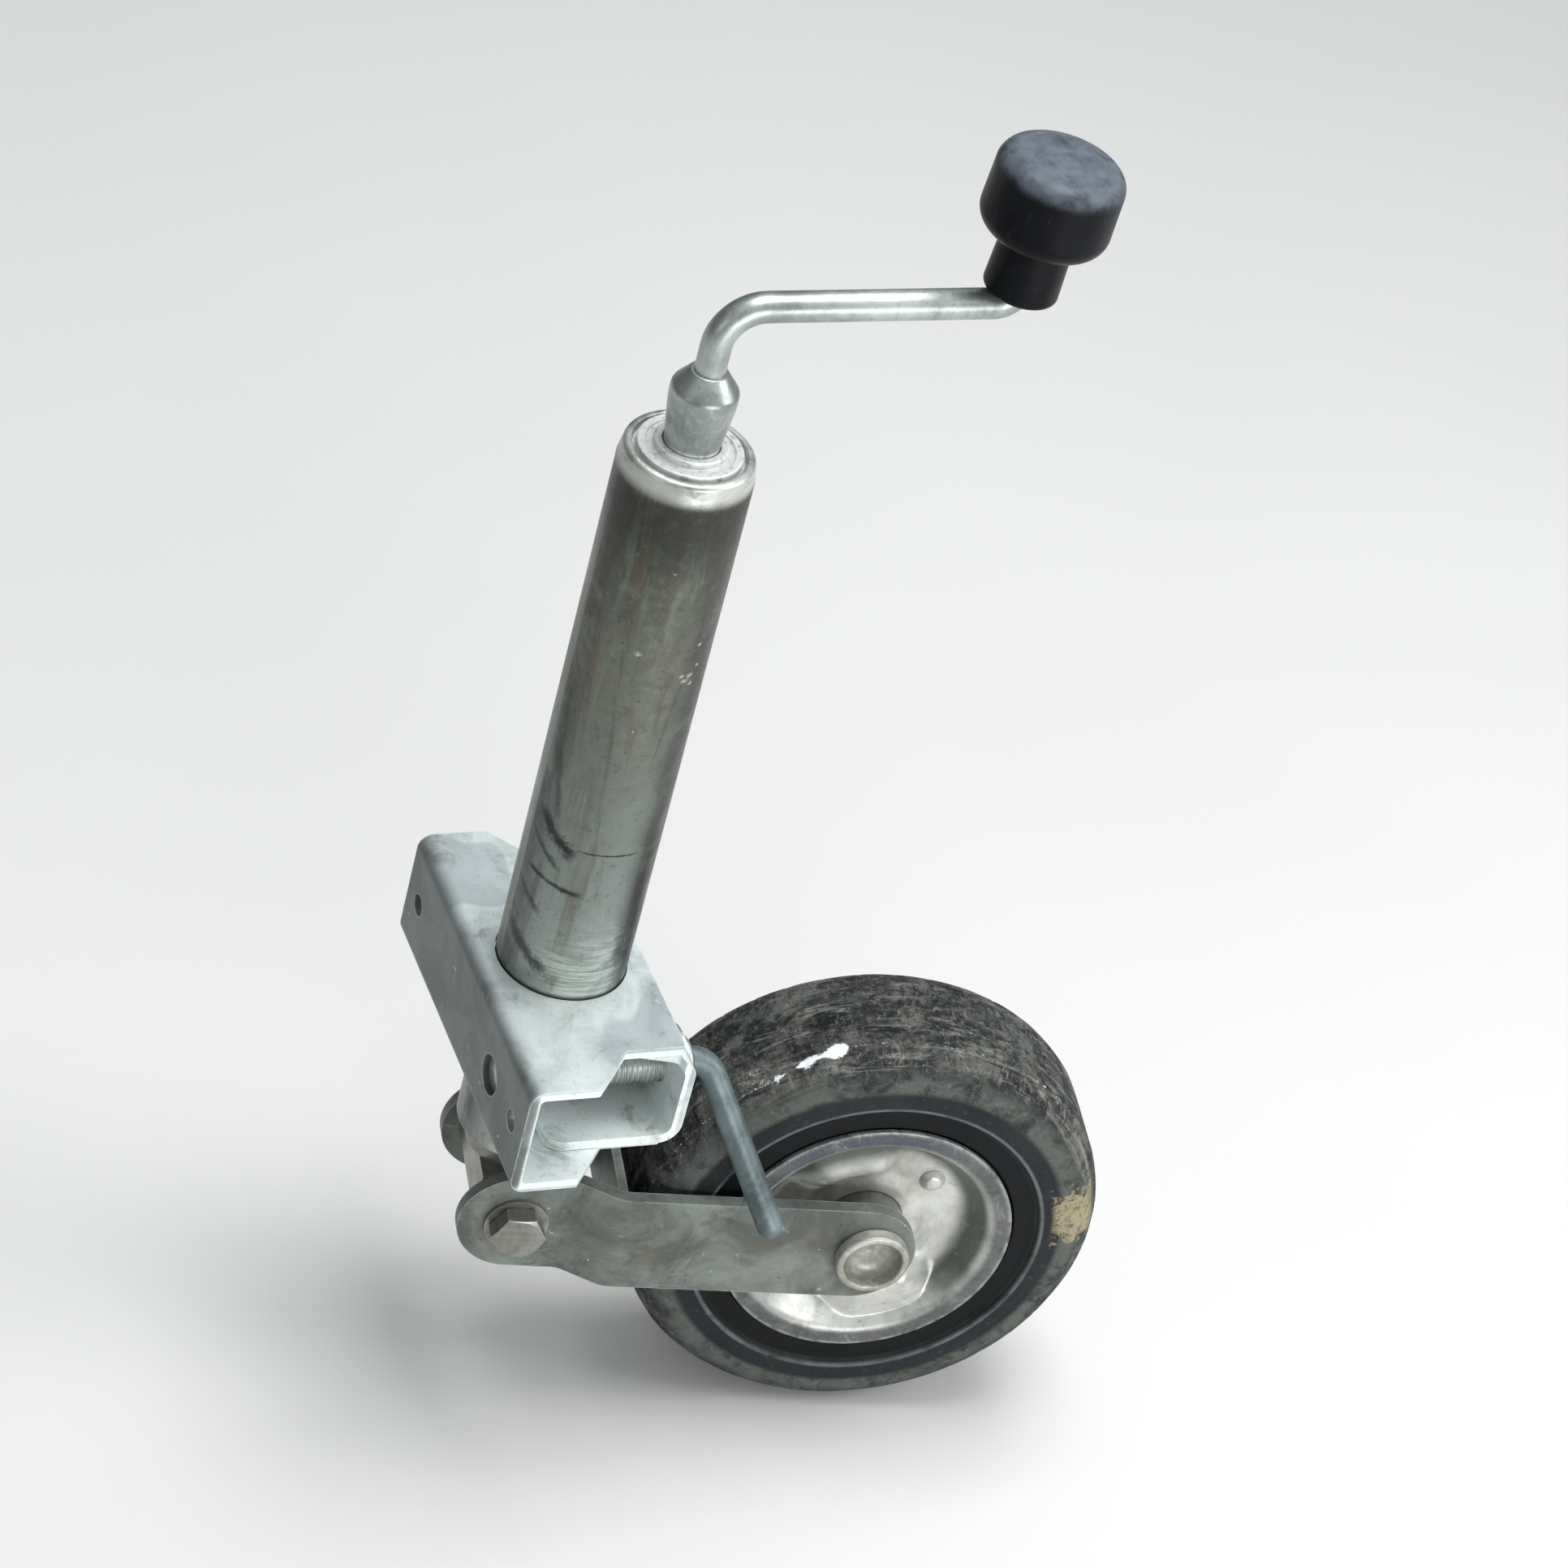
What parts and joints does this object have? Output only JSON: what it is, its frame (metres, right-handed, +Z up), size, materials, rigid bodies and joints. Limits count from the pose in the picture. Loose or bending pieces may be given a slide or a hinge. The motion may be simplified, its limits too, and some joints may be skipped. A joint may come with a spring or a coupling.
{
  "type": "trailer jack wheel",
  "caption": "Crank-driven jockey wheel: solid tyre on a folding fork under a lifting tube, held by a screw clamp on the drawbar.",
  "frame": {"origin": "centre of the clamp bracket's mounting face on the drawbar", "axes": "+X points to the rear of the trailer, away from the mounting face; +Y to the trailer's right-hand side; +Z up along the tube"},
  "size_m": [0.2579, 0.1425, 0.5426],
  "materials": {
    "galvanised_sheet": "matt galvanised sheet with darker spots and drips",
    "tube_zinc": "dull dark weathered zinc, scratched, lighter near the clamp",
    "bright_zinc": "light satin zinc plating",
    "handle_zinc": "dark blue-grey zinc plating",
    "strap_zinc": "weathered zinc with stains and small paint specks",
    "axle_zinc": "worn zinc plating",
    "rim_zinc": "warm dull zinc with a scuffed edge",
    "plain_steel": "greased zinc-plated steel",
    "bearing_steel": "polished bearing steel",
    "cage_brass": "plain brass",
    "guide_nylon": "natural nylon",
    "knob_plastic": "black plastic, satin, scratched on top",
    "tyre_rubber": "solid rubber, worn and dusty"
  },
  "bodies": {
    "bracket": {"mount_channel": "galvanised_sheet", "clamp_nut": "galvanised_sheet"},
    "jaw": {"clamp_jaw": "galvanised_sheet", "clamp_washer": "bright_zinc"},
    "clamp_screw_body": {"clamp_screw": "bright_zinc", "clamp_handle": "handle_zinc"},
    "outer_tube_body": {"outer_tube": "tube_zinc", "bearing_cover": "bright_zinc", "thrust_balls": "bearing_steel", "ball_cage": "cage_brass", "lower_guide_bush": "guide_nylon"},
    "crank": {"spindle": "plain_steel", "bearing_race": "bearing_steel", "crank_hub": "bright_zinc", "hub_pin": "bright_zinc", "crank_arm": "bright_zinc", "knob_retainer": "plain_steel"},
    "knob": {"crank_knob": "knob_plastic", "knob_cap": "knob_plastic"},
    "inner_tube_body": {"inner_tube": "plain_steel", "spindle_nut": "plain_steel", "upper_guide_ring": "guide_nylon", "pivot_block": "plain_steel"},
    "fork": {"fork_strap_left": "strap_zinc", "fork_strap_right": "strap_zinc", "fork_bridge": "strap_zinc", "pivot_bolt": "plain_steel", "pivot_nut": "plain_steel", "pivot_washers": "plain_steel", "axle_rivet": "axle_zinc", "axle_washers": "axle_zinc"},
    "wheel": {"rim_half_left": "rim_zinc", "rim_half_right": "rim_zinc", "rim_band": "rim_zinc", "rim_rivets": "rim_zinc", "hub_tube": "plain_steel", "hub_bush": "guide_nylon", "tyre": "tyre_rubber"}
  },
  "joints": [
    {"name": "jaw_slide", "type": "slide", "parent": "bracket", "child": "jaw", "axis": [-1, 0, 0], "range_m": [0, 0.00095]},
    {"name": "clamp_turn", "type": "hinge", "parent": "jaw", "child": "clamp_screw_body", "pos_m": [0.0755, -0.033, -0.001], "axis": [-1, 0, 0], "range_deg": [0, 170]},
    {"name": "tube_height", "type": "slide", "parent": "bracket", "child": "outer_tube_body", "axis": [0, 0, 1], "range_m": [-0.15, 0.01]},
    {"name": "crank_turn", "type": "hinge", "parent": "outer_tube_body", "child": "crank", "pos_m": [0.033, 0, 0.25], "axis": [0, 0, -1], "range_deg": [0, 13500]},
    {"name": "knob_spin", "type": "hinge", "parent": "crank", "child": "knob", "pos_m": [0.138, 0, 0.309], "axis": [0.0663, 0, 0.9978], "continuous": true},
    {"name": "inner_tube_lift", "type": "slide", "parent": "outer_tube_body", "child": "inner_tube_body", "axis": [0, 0, -1], "range_m": [0, 0.15]},
    {"name": "fork_fold", "type": "hinge", "parent": "inner_tube_body", "child": "fork", "pos_m": [0.033, 0, -0.0835], "axis": [0.1797, 0.9837, 0], "range_deg": [0, 90]},
    {"name": "wheel_spin", "type": "hinge", "parent": "fork", "child": "wheel", "pos_m": [0.1658, -0.02425, -0.0835], "axis": [0.1797, 0.9837, 0], "continuous": true}
  ],
  "couplings": [
    {"joint": "jaw_slide", "follows": "clamp_turn", "m_per_rad": 0.0003183},
    {"joint": "inner_tube_lift", "follows": "crank_turn", "m_per_rad": 0.0006366}
  ]
}
